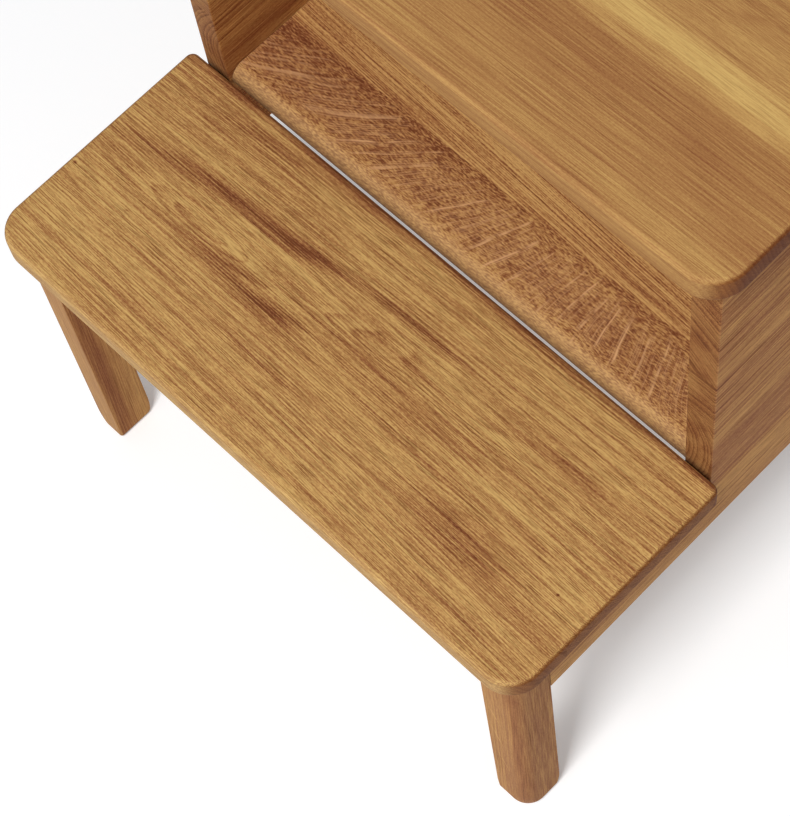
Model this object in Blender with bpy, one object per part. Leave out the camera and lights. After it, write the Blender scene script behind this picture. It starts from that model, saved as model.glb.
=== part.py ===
"""Two-step stool in solid oak: two treads, four short legs and a box with a shelf under the upper tread.

The stool stands on the floor at z = 0, with the origin in the middle of its footprint.
+X is its right side, -Y its front and +Z is up. All sizes are in metres.
"""

import math

import bmesh
import bpy
from mathutils import Matrix, Vector

# Overall sizes
TREAD_WIDTH = 0.400
OVERALL_DEPTH = 0.400
LOWER_DEPTH = 0.1565
LOWER_HEIGHT = 0.250
UPPER_HEIGHT = 0.483

# Stock that the pieces are cut from
BOARD = 0.018
RAIL_HEIGHT = 0.054
LEG_WIDTH = 0.025
LEG_DEPTH = 0.027

# How far the treads stand past what carries them, and the gaps that part the pieces seen from above
SIDE_OVERHANG = 0.009
FRONT_OVERHANG = 0.008
NOSE_OVERHANG = 0.0145
REAR_OVERHANG = 0.008
PANEL_GAP = 0.002
SLOT_WIDTH = 0.0065

# Rounding: the treads' outer corners in plan, the rolled edges, and the eased arrises of all other pieces
CORNER_RADIUS = 0.020
EDGE_ROLL = 0.004
ARRIS_ROLL = 0.001
CORNER_EASE = 0.001
CORNER_STEPS = 8
EDGE_STEPS = 4
ARRIS_STEPS = 2
SMOOTH_ANGLE = math.radians(40)

# Joinery: plain dowels, glued into bores a little wider and deeper than themselves
GLUE_GAP = 0.0003
DOWEL_DIAMETER = 0.008
DOWEL_CHAMFER = 0.001
DOWEL_SIDES = 10
DOWEL_IN_END = 0.019
DOWEL_MARGIN = 0.018
BORE_FLOOR = 0.007
BORE_CLEARANCE = 0.0003
BORE_RELIEF = 0.0005
BORE_LEAD = 0.001

# Finishes as sRGB, with one roughness for oiled wood and one for raw wood
OAK_TREAD = (0.72, 0.54, 0.32)
OAK_SHELF = (0.63, 0.45, 0.28)
OAK_SIDE = (0.61, 0.43, 0.27)
OAK_LEG = (0.64, 0.45, 0.29)
BEECH = (0.80, 0.66, 0.50)
OILED = 0.50
RAW = 0.75

# Places that follow from the sizes above
FRONT = -OVERALL_DEPTH / 2
BACK = OVERALL_DEPTH / 2
TREAD_SIDE = TREAD_WIDTH / 2
SIDE = TREAD_SIDE - SIDE_OVERHANG
INNER = SIDE - BOARD
LEG_INNER = SIDE - LEG_WIDTH
LEG_FRONT = FRONT + FRONT_OVERHANG
REAR = BACK - REAR_OVERHANG
LOWER_BACK = FRONT + LOWER_DEPTH
PANEL_FRONT = LOWER_BACK + PANEL_GAP
SHELF_FRONT = LOWER_BACK + SLOT_WIDTH
NOSE = PANEL_FRONT - NOSE_OVERHANG
LOWER_UNDER = LOWER_HEIGHT - BOARD
UPPER_UNDER = UPPER_HEIGHT - BOARD
FRAME_TOP = LOWER_UNDER - GLUE_GAP
RAIL_BOTTOM = LOWER_UNDER - RAIL_HEIGHT
RAIL_FRONT = LEG_FRONT + LEG_DEPTH + GLUE_GAP
RAIL_BACK = REAR - LEG_DEPTH - GLUE_GAP
LEG_CORNER = CORNER_RADIUS - FRONT_OVERHANG
DOWEL_IN_FACE = BOARD - BORE_FLOOR

# The way (u, v, w) that a piece is drawn in turns to (x, y, z) for a piece that is thick along w
THICK_ALONG = {
    "x": lambda u, v, w: (w, u, v),
    "y": lambda u, v, w: (v, w, u),
    "z": lambda u, v, w: (u, v, w),
}
X_AXIS = Vector((1, 0, 0))
Y_AXIS = Vector((0, 1, 0))
Z_AXIS = Vector((0, 0, 1))


def clear_scene():
    """Remove every object of the open file."""
    for obj in list(bpy.data.objects):
        bpy.data.objects.remove(obj, do_unlink=True)


def linear(channel):
    """One sRGB channel as linear light."""
    if channel <= 0.04045:
        return channel / 12.92
    return ((channel + 0.055) / 1.055) ** 2.4


def wood(name, colour, roughness):
    """A plain wood finish."""
    material = bpy.data.materials.new(name)
    material.use_nodes = True
    shader = material.node_tree.nodes["Principled BSDF"]
    shader.inputs["Base Color"].default_value = (*(linear(c) for c in colour), 1.0)
    shader.inputs["Roughness"].default_value = roughness
    shader.inputs["Metallic"].default_value = 0.0
    return material


def rounded_rectangle(low, high, radii):
    """Points of a rectangle with round corners, anticlockwise from its low corner.

    A corner wider than an eased arris gets a full arc of steps, the others get few.
    """
    (u0, v0), (u1, v1) = low, high
    ends = ((u0, v0, 1, 1), (u1, v0, -1, 1), (u1, v1, -1, -1), (u0, v1, 1, -1))
    points = []
    for quarter, ((u, v, to_u, to_v), (radius, steps)) in enumerate(zip(ends, radii)):
        centre_u = u + to_u * radius
        centre_v = v + to_v * radius
        for step in range(steps + 1):
            angle = math.pi + (quarter + step / steps) * math.pi / 2
            points.append((centre_u + radius * math.cos(angle), centre_v + radius * math.sin(angle)))
    return points


def roll_profile(w0, w1, roll, steps):
    """Pairs of (inset, w) up the edge of a board, a quarter circle at each face."""
    quarter = [math.pi / 2 * step / steps for step in range(steps + 1)]
    lower = [(roll * (1 - math.sin(a)), w0 + roll * (1 - math.cos(a))) for a in quarter]
    upper = [(inset, w0 + w1 - w) for inset, w in reversed(lower)]
    return lower + upper


def board(name, thick, low, high, roll, steps, material, corners=None):
    """A board with rolled edges, drawn as an outline in (u, v) and carried along w.

    low and high are its corners in (u, v, w). corners gives the radius of a round corner
    by its place in the outline; every other corner is only as round as its rolled edge.
    """
    eased = roll + CORNER_EASE
    radii = [(eased, ARRIS_STEPS)] * 4
    for place, radius in (corners or {}).items():
        radii[place] = (radius, CORNER_STEPS)
    centre = [(a + b) / 2 for a, b in zip(low, high)]
    to_world = THICK_ALONG[thick]
    mesh = bmesh.new()
    rings = []
    for inset, w in roll_profile(low[2], high[2], roll, steps):
        ring_low = (low[0] + inset, low[1] + inset)
        ring_high = (high[0] - inset, high[1] - inset)
        outline = rounded_rectangle(ring_low, ring_high, [(r - inset, n) for r, n in radii])
        rings.append([
            mesh.verts.new(to_world(u - centre[0], v - centre[1], w - centre[2])) for u, v in outline
        ])
    for below, above in zip(rings, rings[1:]):
        for i in range(len(below)):
            j = (i + 1) % len(below)
            mesh.faces.new((below[i], below[j], above[j], above[i]))
    mesh.faces.new(list(reversed(rings[0])))
    mesh.faces.new(rings[-1])
    return make_object(name, mesh, Vector(to_world(*centre)), material)


def make_object(name, mesh, place, material):
    """Turn a built mesh into a named object under the stool's own empty."""
    data = bpy.data.meshes.new(name)
    mesh.to_mesh(data)
    mesh.free()
    data.materials.append(material)
    smooth(data)
    return put(name, data, place)


def smooth(data):
    """Shade a mesh smooth, apart from its real edges."""
    data.shade_smooth()
    data.set_sharp_from_angle(angle=SMOOTH_ANGLE)


def put(name, data, place):
    """Add an object with a mesh at a place, parented to the stool's empty."""
    obj = bpy.data.objects.new(name, data)
    obj.location = place
    obj.parent = bpy.data.objects.get("stool")
    bpy.context.scene.collection.objects.link(obj)
    return obj


def spread(low, high, count):
    """Evenly spaced places from low to high, both included."""
    return [low + (high - low) * i / (count - 1) for i in range(count)]


def make_treads():
    """The two steps: wide boards with round corners, and edges rolled all the way round."""
    lower = board("lower_step", "z", (-TREAD_SIDE, FRONT, LOWER_UNDER), (TREAD_SIDE, LOWER_BACK, LOWER_HEIGHT),
                  EDGE_ROLL, EDGE_STEPS, wood("lower_step_oak", OAK_TREAD, OILED),
                  {0: CORNER_RADIUS, 1: CORNER_RADIUS})
    upper = board("upper_step", "z", (-TREAD_SIDE, NOSE, UPPER_UNDER), (TREAD_SIDE, BACK, UPPER_HEIGHT),
                  EDGE_ROLL, EDGE_STEPS, wood("upper_step_oak", OAK_TREAD, OILED),
                  {corner: CORNER_RADIUS for corner in range(4)})
    return [lower, upper]


def make_box():
    """The compartment under the upper step: two sides, a shelf level with the lower step, and a back."""
    span = INNER - GLUE_GAP
    box_top = UPPER_UNDER - GLUE_GAP
    pieces = [
        board("shelf", "x", (SHELF_FRONT, LOWER_UNDER, -span), (REAR, LOWER_HEIGHT, span),
              ARRIS_ROLL, ARRIS_STEPS, wood("shelf_oak", OAK_SHELF, OILED),
              {0: EDGE_ROLL, 3: EDGE_ROLL}),
        board("back_panel", "y", (LOWER_HEIGHT + GLUE_GAP, -span, REAR - BOARD), (box_top, span, REAR),
              ARRIS_ROLL, ARRIS_STEPS, wood("back_panel_oak", OAK_SIDE, OILED)),
    ]
    for side, inner, outer in (("left", -SIDE, -INNER), ("right", INNER, SIDE)):
        name = f"{side}_side_panel"
        pieces.append(board(name, "x", (PANEL_FRONT, LOWER_UNDER, inner), (REAR, box_top, outer),
                            ARRIS_ROLL, ARRIS_STEPS, wood(f"{name}_oak", OAK_SIDE, OILED)))
    return pieces


def make_frame():
    """Four legs and the rails between them, carrying the lower step, the shelf and the box."""
    pieces = []
    for side, low, high in (("left", -SIDE, -LEG_INNER), ("right", LEG_INNER, SIDE)):
        right = side == "right"
        ends = (
            ("front", LEG_FRONT, LEG_FRONT + LEG_DEPTH, 1 if right else 0),
            ("rear", REAR - LEG_DEPTH, REAR, 2 if right else 3),
        )
        for end, front, back, round_corner in ends:
            name = f"{end}_{side}_leg"
            pieces.append(board(name, "z", (low, front, 0.0), (high, back, FRAME_TOP),
                                ARRIS_ROLL, ARRIS_STEPS, wood(f"{name}_oak", OAK_LEG, OILED),
                                {round_corner: LEG_CORNER}))
    for side, low, high in (("left", -SIDE, -INNER), ("right", INNER, SIDE)):
        name = f"{side}_side_rail"
        pieces.append(board(name, "x", (RAIL_FRONT, RAIL_BOTTOM, low), (RAIL_BACK, FRAME_TOP, high),
                            ARRIS_ROLL, ARRIS_STEPS, wood(f"{name}_oak", OAK_SIDE, OILED)))
    span = LEG_INNER - GLUE_GAP
    pieces.append(board("rear_rail", "y", (RAIL_BOTTOM, -span, REAR - BOARD), (FRAME_TOP, span, REAR),
                        ARRIS_ROLL, ARRIS_STEPS, wood("rear_rail_oak", OAK_SIDE, OILED)))
    return pieces


def dowel_places():
    """Every dowel as (name, point on the joint, axis, piece bored in its end, piece bored in its face).

    The axis points from the piece that is bored in its end or edge to the one that is bored in its face.
    """
    rail_heights = (RAIL_BOTTOM + RAIL_HEIGHT / 4, RAIL_BOTTOM + 3 * RAIL_HEIGHT / 4)
    bore_in_end = DOWEL_IN_END + BORE_RELIEF
    bore_in_face = DOWEL_IN_FACE + BORE_RELIEF
    rail_clear_front = RAIL_FRONT + bore_in_end
    rail_clear_back = RAIL_BACK - bore_in_end
    panel_places = spread(PANEL_FRONT + DOWEL_MARGIN, rail_clear_back - DOWEL_MARGIN, 3)
    shelf_places = [(a + b) / 2 for a, b in zip(panel_places, panel_places[1:])]
    back_span = UPPER_UNDER - LOWER_HEIGHT
    rear_line = REAR - BOARD / 2
    places = []
    for side, sign in (("left", -1), ("right", 1)):
        rail_x = sign * (SIDE - BOARD / 2)
        outward = sign * X_AXIS
        rail, panel = f"{side}_side_rail", f"{side}_side_panel"
        front_leg, rear_leg = f"front_{side}_leg", f"rear_{side}_leg"
        leg_x = sign * (SIDE - LEG_WIDTH / 2)
        leg_y = LEG_FRONT + (LEG_DEPTH - bore_in_face) / 2
        places.append((f"{side}_leg_to_step", (leg_x, leg_y, LOWER_UNDER), Z_AXIS, front_leg, "lower_step"))
        for level, height in zip(("low", "high"), rail_heights):
            places.append((f"{side}_rail_to_front_leg_{level}", (rail_x, RAIL_FRONT, height), -Y_AXIS, rail, front_leg))
            places.append((f"{side}_rail_to_rear_leg_{level}", (rail_x, RAIL_BACK, height), Y_AXIS, rail, rear_leg))
            rear_end = sign * (LEG_INNER - GLUE_GAP)
            places.append((f"rear_rail_to_{side}_leg_{level}", (rear_end, rear_line, height), outward,
                           "rear_rail", rear_leg))
        step_places = spread(rail_clear_front + DOWEL_MARGIN, LOWER_BACK - DOWEL_MARGIN, 2)
        for i, y in enumerate(step_places, 1):
            places.append((f"{side}_rail_to_step_{i}", (rail_x, y, LOWER_UNDER), Z_AXIS, rail, "lower_step"))
        for i, y in enumerate(panel_places, 1):
            places.append((f"{side}_rail_to_panel_{i}", (rail_x, y, LOWER_UNDER), Z_AXIS, rail, panel))
        for i, y in enumerate(shelf_places, 1):
            joint = (sign * INNER, y, LOWER_HEIGHT - BOARD / 2)
            places.append((f"shelf_to_{side}_panel_{i}", joint, outward, "shelf", panel))
        for i, y in enumerate(spread(PANEL_FRONT + DOWEL_MARGIN, REAR - DOWEL_MARGIN, 3), 1):
            places.append((f"{side}_panel_to_step_{i}", (rail_x, y, UPPER_UNDER), Z_AXIS, panel, "upper_step"))
        for level, share in (("low", 1), ("high", 3)):
            joint = (sign * INNER, rear_line, LOWER_HEIGHT + share * back_span / 4)
            places.append((f"back_to_{side}_panel_{level}", joint, outward, "back_panel", panel))
        shelf_x = sign * (LEG_INNER - bore_in_end - DOWEL_MARGIN)
        places.append((f"rear_rail_to_shelf_{side}", (shelf_x, rear_line, LOWER_UNDER), Z_AXIS, "rear_rail", "shelf"))
    return places


def dowel_mesh(material):
    """A dowel along +Z with chamfered ends; z = 0 is the joint, below it the end of the wood."""
    radius = DOWEL_DIAMETER / 2
    stations = (
        (radius - DOWEL_CHAMFER, -DOWEL_IN_END),
        (radius, DOWEL_CHAMFER - DOWEL_IN_END),
        (radius, DOWEL_IN_FACE - DOWEL_CHAMFER),
        (radius - DOWEL_CHAMFER, DOWEL_IN_FACE),
    )
    mesh = bmesh.new()
    turns = [2 * math.pi * i / DOWEL_SIDES for i in range(DOWEL_SIDES)]
    rings = [[mesh.verts.new((r * math.cos(a), r * math.sin(a), z)) for a in turns] for r, z in stations]
    for below, above in zip(rings, rings[1:]):
        for i in range(DOWEL_SIDES):
            j = (i + 1) % DOWEL_SIDES
            mesh.faces.new((below[i], below[j], above[j], above[i]))
    mesh.faces.new(list(reversed(rings[0])))
    mesh.faces.new(rings[-1])
    data = bpy.data.meshes.new("dowel")
    mesh.to_mesh(data)
    mesh.free()
    data.materials.append(material)
    smooth(data)
    return data


def turn_to(axis):
    """The rotation that takes +Z to an axis."""
    return Z_AXIS.rotation_difference(axis)


def bore(mesh, point, axis, depth):
    """Add a blind bore's cutter to a mesh: from just outside the joint, depth into the wood along the axis."""
    length = depth + BORE_LEAD
    middle = Vector(point) + axis * (depth - BORE_LEAD) / 2
    place = Matrix.Translation(middle) @ turn_to(axis).to_matrix().to_4x4()
    bmesh.ops.create_cone(mesh, cap_ends=True, segments=DOWEL_SIDES, depth=length, matrix=place,
                          radius1=DOWEL_DIAMETER / 2 + BORE_CLEARANCE,
                          radius2=DOWEL_DIAMETER / 2 + BORE_CLEARANCE)


def drill(piece, cuts):
    """Cut all of a piece's bores at once."""
    mesh = bmesh.new()
    for point, axis, depth in cuts:
        bore(mesh, point, axis, depth)
    data = bpy.data.meshes.new("bores")
    mesh.to_mesh(data)
    mesh.free()
    cutter = put("bores", data, Vector((0, 0, 0)))
    cut = piece.modifiers.new("bores", "BOOLEAN")
    cut.operation = "DIFFERENCE"
    cut.solver = "EXACT"
    cut.object = cutter
    bpy.context.view_layer.update()
    drilled = bpy.data.meshes.new_from_object(piece.evaluated_get(bpy.context.evaluated_depsgraph_get()))
    piece.modifiers.clear()
    solid = piece.data
    piece.data = drilled
    smooth(drilled)
    bpy.data.meshes.remove(solid)
    bpy.data.objects.remove(cutter, do_unlink=True)
    bpy.data.meshes.remove(data)


def join_with_dowels(pieces):
    """Put in every dowel, and bore both pieces of each joint for it."""
    data = dowel_mesh(wood("beech_dowel", BEECH, RAW))
    cuts = {name: [] for name in pieces}
    for name, point, axis, end_piece, face_piece in dowel_places():
        dowel = put(f"dowel_{name}", data, Vector(point))
        dowel.rotation_mode = "QUATERNION"
        dowel.rotation_quaternion = turn_to(axis)
        cuts[end_piece].append((point, -axis, DOWEL_IN_END + BORE_RELIEF))
        cuts[face_piece].append((point, axis, DOWEL_IN_FACE + BORE_RELIEF))
    for name, piece_cuts in cuts.items():
        drill(pieces[name], piece_cuts)


def main():
    """Build the stool."""
    clear_scene()
    bpy.context.scene.collection.objects.link(bpy.data.objects.new("stool", None))
    pieces = {piece.name: piece for piece in make_treads() + make_box() + make_frame()}
    join_with_dowels(pieces)


main()
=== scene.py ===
"""The looks of a two-step stool in oiled oak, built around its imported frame.

Every board that shows is made again with finely rolled edges, in the place of its node, and cut from a block of
wood that is worked out in space: growth rings round the heart of a tree, pores, fibres and rays. So the figure on
a face, on an edge and on the end of a board belong together.
"""

import logging
import math
from dataclasses import dataclass
from enum import Enum
from typing import Any, Sequence

import bpy
import numpy as np
from mathutils import Matrix, Vector


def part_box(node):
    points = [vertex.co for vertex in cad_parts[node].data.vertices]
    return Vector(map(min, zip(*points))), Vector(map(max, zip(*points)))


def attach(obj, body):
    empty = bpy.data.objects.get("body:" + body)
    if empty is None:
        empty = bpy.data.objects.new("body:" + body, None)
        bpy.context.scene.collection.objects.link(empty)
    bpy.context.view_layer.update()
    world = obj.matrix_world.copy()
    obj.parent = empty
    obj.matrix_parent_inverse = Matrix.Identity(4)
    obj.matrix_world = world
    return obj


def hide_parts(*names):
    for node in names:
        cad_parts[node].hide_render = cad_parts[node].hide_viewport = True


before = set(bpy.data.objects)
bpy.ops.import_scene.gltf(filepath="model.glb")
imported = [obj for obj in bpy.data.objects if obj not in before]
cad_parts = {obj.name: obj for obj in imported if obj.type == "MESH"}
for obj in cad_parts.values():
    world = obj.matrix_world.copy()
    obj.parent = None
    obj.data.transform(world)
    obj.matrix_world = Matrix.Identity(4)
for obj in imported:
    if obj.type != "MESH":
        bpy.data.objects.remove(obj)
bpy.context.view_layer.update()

Tree = bpy.types.NodeTree
Socket = bpy.types.NodeSocket
Material = bpy.types.Material

LOG = logging.getLogger("stool")
BODY = "root"
MM = 0.001
PICTURE_SIDE = 816
TO_MM = (1 / MM,) * 3

# Where the first strip of a board starts, in millimetres: before the board.
BEFORE = -999

# A Mix node that mixes colours: its setting and output, and the places of its inputs.
COLOURS = {"data_type": "RGBA", "out": 2}
SHARE, FROM, TO = 0, 6, 7

# Noise has most of its values between these two.
NOISE_LOW, NOISE_HIGH = 0.30, 0.70

# Sizes of what drifts through the oak, in millimetres along, across and through a board.
SLOW_BEND = (200, 36, 36)
QUICK_WEAVE = (34, 6, 6)
CLOUD = (170, 17, 17)
VESSEL_PATCH = (120, 9, 9)
RAGGED_SIDE = (40, 3.5, 3.5)
FRAYED_END = (400, 1.3, 1.3)

# How far slow noise bends the heart across and through, as shares of the wobble, and millimetres of weave at full curl.
BEND_ACROSS, BEND_THROUGH, WEAVE = 0.8, 2.0, 4.0

# How far a mark strays from side to side in half widths, and the share of its half length over which it fades.
STRAY, FADE = 1.6, 0.6

# Years differ in width: by this many years, over this many millimetres.
UNEVEN_BY, UNEVEN_OVER = 2.2, 9.0

# Lines along the fibres, as the size of each and how far it changes the tone, and the dash that these sizes go with.
FIBRE_LINES = (((150, 4.4, 4.4), 0.04), ((80, 1.4, 1.4), 0.05), ((48, 0.46, 0.46), 0.30), ((1.6, 0.46, 0.46), 0.16))
USUAL_DASH = 18.0

# Tone of plain wood, and how far clouds change it.
PLAIN_TONE, CLOUD_TONE = 0.28, 0.22

# Tone of late and early wood at full figure, and the same inside a swelling.
LATE_TONE, EARLY_TONE = -0.4, 0.6
SWELL_LATE, SWELL_RISE = -0.12, 0.40

# Pores and vessels: length in dashes, distance across in millimetres, and how much they crowd into the early wood.
PORE_KINDS = ((1.0, 0.80, 0.25), (1.7, 1.15, 0.55))
# A pore fades from the rim of its cell to its core. Sheets of cells lean through the board.
PORE_RIM, PORE_CORE, SHEET_LEAN = 0.36, 0.14, 0.8
# Vessels come in patches: between these values of noise, their share goes from the third number to the fourth.
VESSEL_SHARE = (0.36, 0.62, 0.25, 1.0)

# Sway of the rays, as its size along the arc and across the board, and how far it goes, in millimetres.
RAY_SWAYS = (((26, 40, 1), 7.0), ((7, 10, 1), 1.3))
# Shares of the span by which a ray may start later and stop earlier, and the millimetres over which its ends fade.
RAY_LATE, RAY_SHORT, RAY_FADE = 0.20, 0.30, 4.0
# A ray breaks into pieces, this many pitches wide and millimetres long, between these values of noise.
RAY_PIECE, RAY_BREAKS = (1.6, 9), (0.34, 0.56, 0.1, 1.0)
# Chance below which a ray is weakest and above which it is strongest, and the weakest one's share of the depth.
RAY_CHANCE, RAY_WEAKEST = (0.05, 0.6), 0.2

# How much a point is early wood, from the start of a year to its end.
SEASON = ((0.0, "FFFFFF"), (0.14, "DADADA"), (0.40, "949494"), (0.64, "505050"), (0.84, "383838"), (1.0, "FFFFFF"))

# Oiled oak from pale to dark, and the colours that lie over it.
OAK_TONES = ((0.0, "CCA565"), (0.28, "BC9057"), (0.55, "A47446"), (0.85, "865132"), (1.0, "6C3D25"))
PORE_BROWN, VESSEL_BROWN = "7A4824", "5C3617"
# The second colour here is painted sheen, laid over faces turned to the front.
RAY_CREAM, SHEEN_CREAM = "D2A674", "D3B57E"

# How far a face is turned to the front where its painted sheen starts and is full, and to the end grain likewise.
SHEEN_TURN, END_TURN = (-0.05, -0.55), (0.35, 0.85)

# The oil's satin: rough, rougher in the pores, and with little sheen. Pores are 0.12 mm deep.
OIL_ROUGHNESS, PORE_ROUGHNESS, OIL_IOR, OIL_SHEEN = 0.58, 0.15, 1.48, 0.06
PORE_DEPTH, PORE_RELIEF = 0.12 * MM, 0.3
# Shares of a vessel's colour and of a dash's depth, next to the other kind.
VESSEL_DARK, DASH_DEPTH = 0.85, 0.4

# A flat rim inside the ends of a board, the sharpest corner that is drawn, and the rings of an eased end.
RIM, SHARPEST, EASED_RINGS = 0.4 * MM, 0.02 * MM, 12


class Grain(Enum):
    """The way the fibres of a board run, as the axes (along, across, through) of its wood."""

    ALONG_X = (0, 1, 2)
    ALONG_Y = (1, 2, 0)
    ALONG_Z = (2, 0, 1)
    TURNED_Z = (2, 1, 0)
    UPRIGHT_X = (0, 2, 1)


class Carried(Enum):
    """The axis that a board's outline is carried along, as the axes of its outline (u, v) and of its length w."""

    ALONG_X = (1, 2, 0)
    ALONG_Y = (2, 0, 1)
    ALONG_Z = (0, 1, 2)


def linear(code: str) -> tuple[float, float, float, float]:
    """Turn an sRGB hex colour into linear light.

    Args:
        code: Six hex digits, such as "C8A060".

    Returns:
        Red, green, blue and an alpha of 1.
    """
    parts = np.array([int(code[i:i + 2], 16) for i in (0, 2, 4)]) / 255.0
    light = np.where(parts <= 0.04045, parts / 12.92, ((parts + 0.055) / 1.055) ** 2.4)
    return (*light.tolist(), 1.0)


def add(tree: Tree, kind: str, *values: Any, out: Any = 0, named: dict[Any, Any] | None = None,
        stops: Sequence[tuple[float, str]] = (), **settings: Any) -> Socket:
    """Add a node with its settings and links.

    Args:
        tree: The node tree it goes into.
        kind: The node's type, without the ShaderNode before it and with its operation after it, such as Math ADD.
        values: Its inputs in order, each a socket to link or a value to set.
        out: The output to return, by name or place.
        named: Inputs by name or place, as values are.
        stops: Place and hex colour of each stop, for a colour ramp.
        settings: Properties of the node.

    Returns:
        The output socket asked for.
    """
    kind, _, operation = kind.partition(" ")
    made = tree.nodes.new("ShaderNode" + kind)
    if operation:
        made.operation = operation
    for name, value in settings.items():
        setattr(made, name, value)
    for key, value in [*enumerate(values), *(named or {}).items()]:
        if isinstance(value, Socket):
            tree.links.new(value, made.inputs[key])
        else:
            made.inputs[key].default_value = value
    if stops:
        ramp = made.color_ramp.elements
        while len(ramp) < len(stops):
            ramp.new(1.0)
        for element, (place, code) in zip(ramp, stops):
            element.position = place
            element.color = linear(code)
    return made.outputs[out]


def blank(name: str) -> tuple[Material, Tree, Socket]:
    """Make a material with an empty node tree.

    Args:
        name: The material's name.

    Returns:
        The material, its node tree, and the socket that takes its surface.
    """
    made = bpy.data.materials.new(name)
    made.use_nodes = True
    made.node_tree.nodes.clear()
    out = made.node_tree.nodes.new("ShaderNodeOutputMaterial")
    return made, made.node_tree, out.inputs["Surface"]


@dataclass(frozen=True)
class Stave:
    """One strip of a glued-up board, cut from its own place in the tree. Sizes in millimetres.

    Attributes:
        edge: Where the strip starts across the board. The first strip starts before the board.
        heart_across: The heart of the tree, across the board.
        heart_through: The heart of the tree, through the board's thickness.
        slope: How far the fibres drift across for each millimetre along.
        taper: How far the heart rises through the board for each millimetre along, which draws years as arches.
        shift: How far the strip is slid along, so that neighbours differ.
        warmth: More is redder and darker, less is yellower and lighter.
        dash: Length of the pores' dashes along the grain.
        curl: How far the fibres weave from side to side.
        ring: Width of a year's growth.
    """

    edge: float
    heart_across: float
    heart_through: float
    slope: float = 0.0
    taper: float = 0.0
    shift: float = 0.0
    warmth: float = 0.0
    dash: float = USUAL_DASH
    curl: float = 0.12
    ring: float = 2.6

    @property
    def run(self) -> float:
        """Dashes for each millimetre along the grain."""
        return 1 / self.dash

    @property
    def rate(self) -> float:
        """Years for each millimetre away from the heart."""
        return 1 / self.ring


@dataclass(frozen=True)
class Mark:
    """A mark in the wood, as a streak of another tone or a swelling of the years. Sizes in millimetres.

    Attributes:
        along: Where its middle lies along the board.
        across: Where its middle lies across the board.
        length: Half of its length, at which it has faded out.
        width: Half of its width.
        slope: How far it drifts across for each millimetre along.
        depth: For a streak, how dark its middle is, less than 0 being paler than the wood around it. For a swelling,
            how far the years bulge.
    """

    along: float
    across: float
    length: float
    width: float
    slope: float = 0.0
    depth: float = 0.5


@dataclass(frozen=True)
class Rays:
    """Rays of a quarter-sawn strip, as thin pale lines that fan out from a point. Sizes in millimetres.

    Attributes:
        along: The point that they fan out from, along the board.
        across: The same point, across the board.
        pitch: Distance between lines at the near end.
        near: Where they start across the board.
        far: Where they end across the board.
        depth: How pale they are, from 0 to 1.
        line: Width of a line. A ray is 0.2 to 0.4 mm wide and is drawn at two to three times that, so that it shows.
    """

    along: float
    across: float
    pitch: float
    near: float
    far: float
    depth: float
    line: float


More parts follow.
